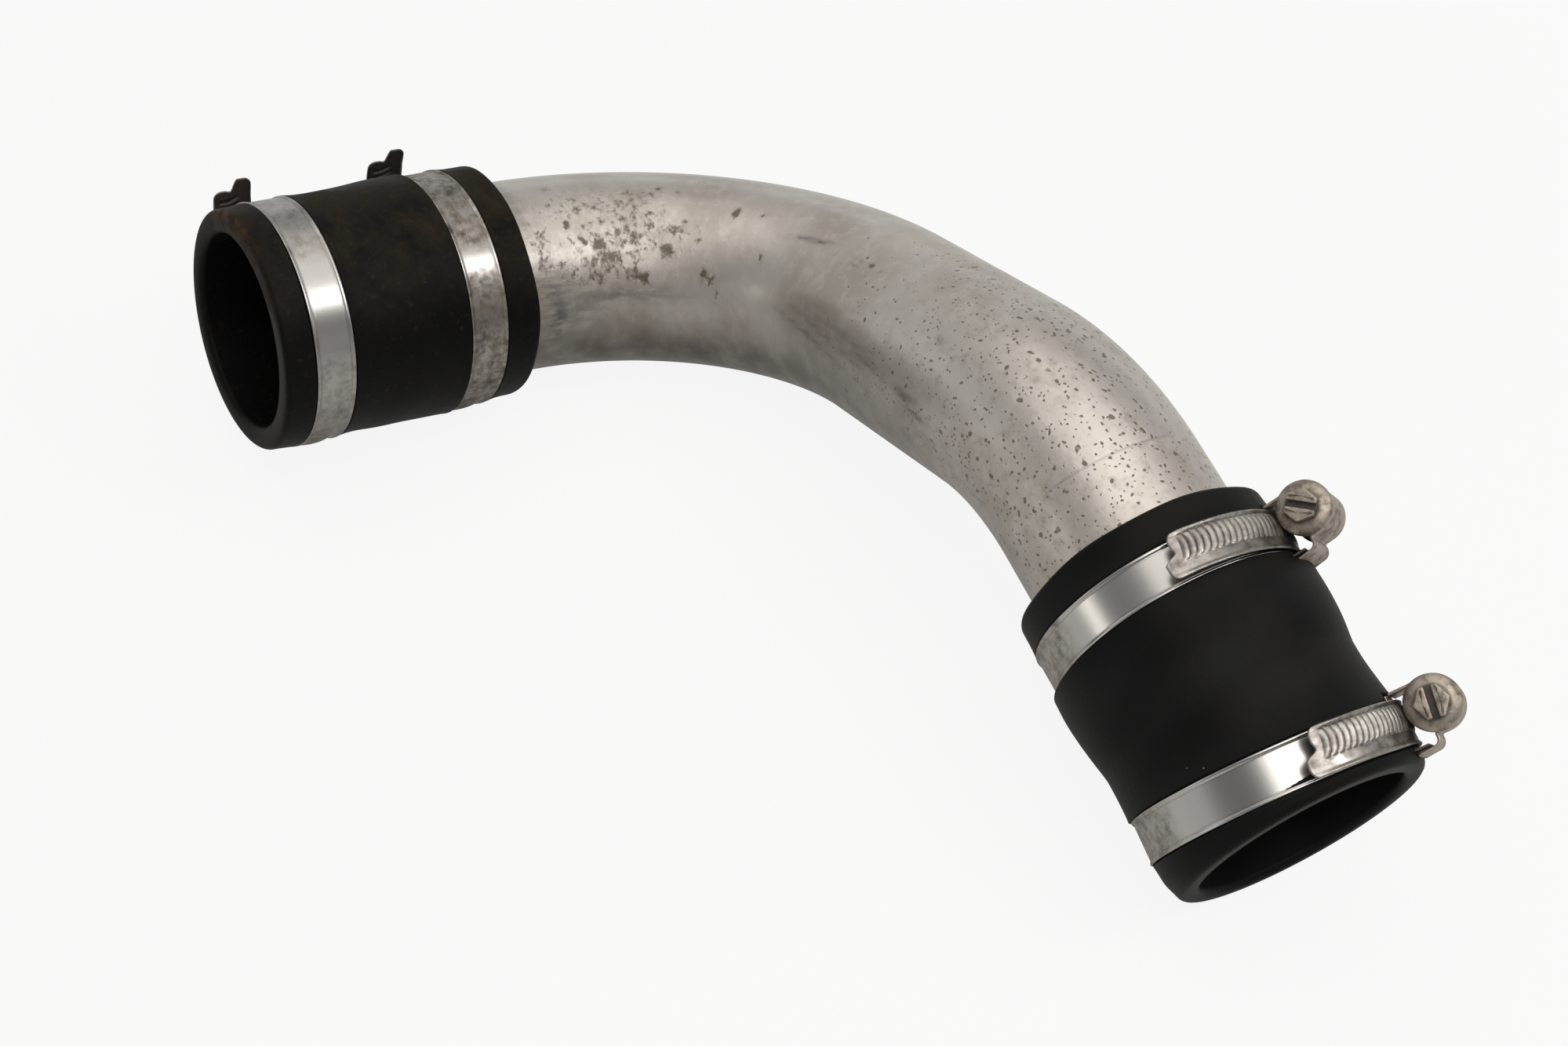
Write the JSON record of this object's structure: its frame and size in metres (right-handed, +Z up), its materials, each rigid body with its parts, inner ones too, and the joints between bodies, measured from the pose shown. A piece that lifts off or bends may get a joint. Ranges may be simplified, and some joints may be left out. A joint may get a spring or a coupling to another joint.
{
  "type": "intercooler pipe",
  "caption": "Bent aluminium charge-air pipe with a rubber coupler hose on each end, each hose held by worm-drive clamps; carries boost air to or from an intercooler.",
  "frame": {"origin": "bottom centre of the bounding box, on the ground that the part lies on", "axes": "+Z up as the part lies at rest, X along its longest extent, inlet hose towards -X, outlet hose towards +X and -Y"},
  "size_m": [0.3528, 0.269, 0.0944],
  "materials": {
    "pipe_aluminium": "satin, weathered",
    "hose_rubber": "matte",
    "band_steel": "polished stainless strip",
    "housing_steel": "dull zinc",
    "screw_steel": "dull zinc"
  },
  "bodies": {
    "pipe_assembly": {"charge_pipe": "pipe_aluminium", "inlet_hose": "hose_rubber", "outlet_hose": "hose_rubber", "inlet_mouth_clamp_band": "band_steel", "inlet_mouth_clamp_housing": "housing_steel", "inlet_pipe_clamp_band": "band_steel", "inlet_pipe_clamp_housing": "housing_steel", "outlet_pipe_clamp_band": "band_steel", "outlet_pipe_clamp_housing": "housing_steel", "outlet_mouth_clamp_band": "band_steel", "outlet_mouth_clamp_housing": "housing_steel"},
    "inlet_mouth_clamp_screw": {"inlet_mouth_clamp_screw": "screw_steel"},
    "inlet_pipe_clamp_screw": {"inlet_pipe_clamp_screw": "screw_steel"},
    "outlet_pipe_clamp_screw": {"outlet_pipe_clamp_screw": "screw_steel"},
    "outlet_mouth_clamp_screw": {"outlet_mouth_clamp_screw": "screw_steel"}
  },
  "joints": [
    {"name": "inlet_mouth_clamp_screw_turn", "type": "hinge", "parent": "pipe_assembly", "child": "inlet_mouth_clamp_screw", "pos_m": [-0.16921, 0.08987, 0.03679], "axis": [0.0155, 0.3172, 0.9482], "continuous": true},
    {"name": "inlet_pipe_clamp_screw_turn", "type": "hinge", "parent": "pipe_assembly", "child": "inlet_pipe_clamp_screw", "pos_m": [-0.1281, 0.11654, 0.03052], "axis": [0.0542, 0.2612, 0.9638], "continuous": true},
    {"name": "outlet_pipe_clamp_screw_turn", "type": "hinge", "parent": "pipe_assembly", "child": "outlet_pipe_clamp_screw", "pos_m": [0.14095, -0.04865, 0.08027], "axis": [-0.483, -0.4674, 0.7404], "continuous": true},
    {"name": "outlet_mouth_clamp_screw_turn", "type": "hinge", "parent": "pipe_assembly", "child": "outlet_mouth_clamp_screw", "pos_m": [0.16729, -0.09676, 0.06271], "axis": [-0.3851, -0.542, 0.747], "continuous": true}
  ]
}
